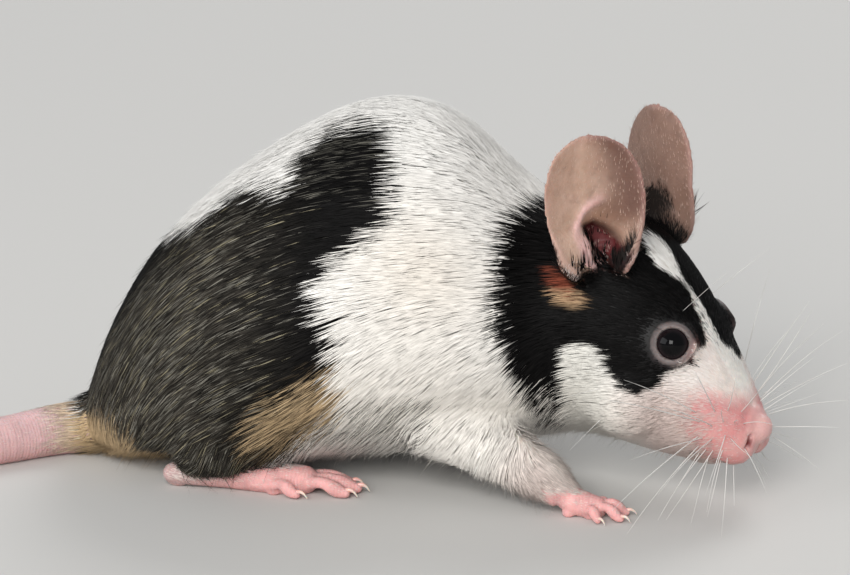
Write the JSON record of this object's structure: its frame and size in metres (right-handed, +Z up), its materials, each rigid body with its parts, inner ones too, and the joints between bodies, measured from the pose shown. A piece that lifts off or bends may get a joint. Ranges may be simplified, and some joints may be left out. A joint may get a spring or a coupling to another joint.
{
  "type": "house mouse, still life-size model",
  "caption": "Life-size still model of a crouching piebald house mouse, head turned a little to its right, tail laid behind it on the floor.",
  "frame": {"origin": "on the floor, under the middle of the bounding box", "axes": "+X from the tail towards the head, -Y the mouse's right side, +Z up from the floor"},
  "size_m": [0.1344, 0.0352, 0.0345],
  "materials": {
    "coat": "short flat fur, white with black patches and a little tan",
    "bare_skin": "thin pink skin, finely creased, with sparse pale hairs",
    "ear_skin": "thin pinkish-brown skin with a fine down",
    "eye": "wet black gloss",
    "claw": "translucent pale horn",
    "whisker": "stiff pale hair"
  },
  "bodies": {
    "root": {"head": "coat", "neck": "coat", "trunk": "coat", "hindleg_right": "coat", "hindleg_left": "coat", "foreleg_right": "coat", "foreleg_left": "coat", "hindfoot_right": "bare_skin", "hindfoot_left": "bare_skin", "forefoot_right": "bare_skin", "forefoot_left": "bare_skin", "ear_right": "ear_skin", "ear_left": "ear_skin", "eye_right": "eye", "eye_left": "eye", "tail_base": "bare_skin", "tail_middle": "bare_skin", "tail_tip": "bare_skin"}
  },
  "joints": []
}
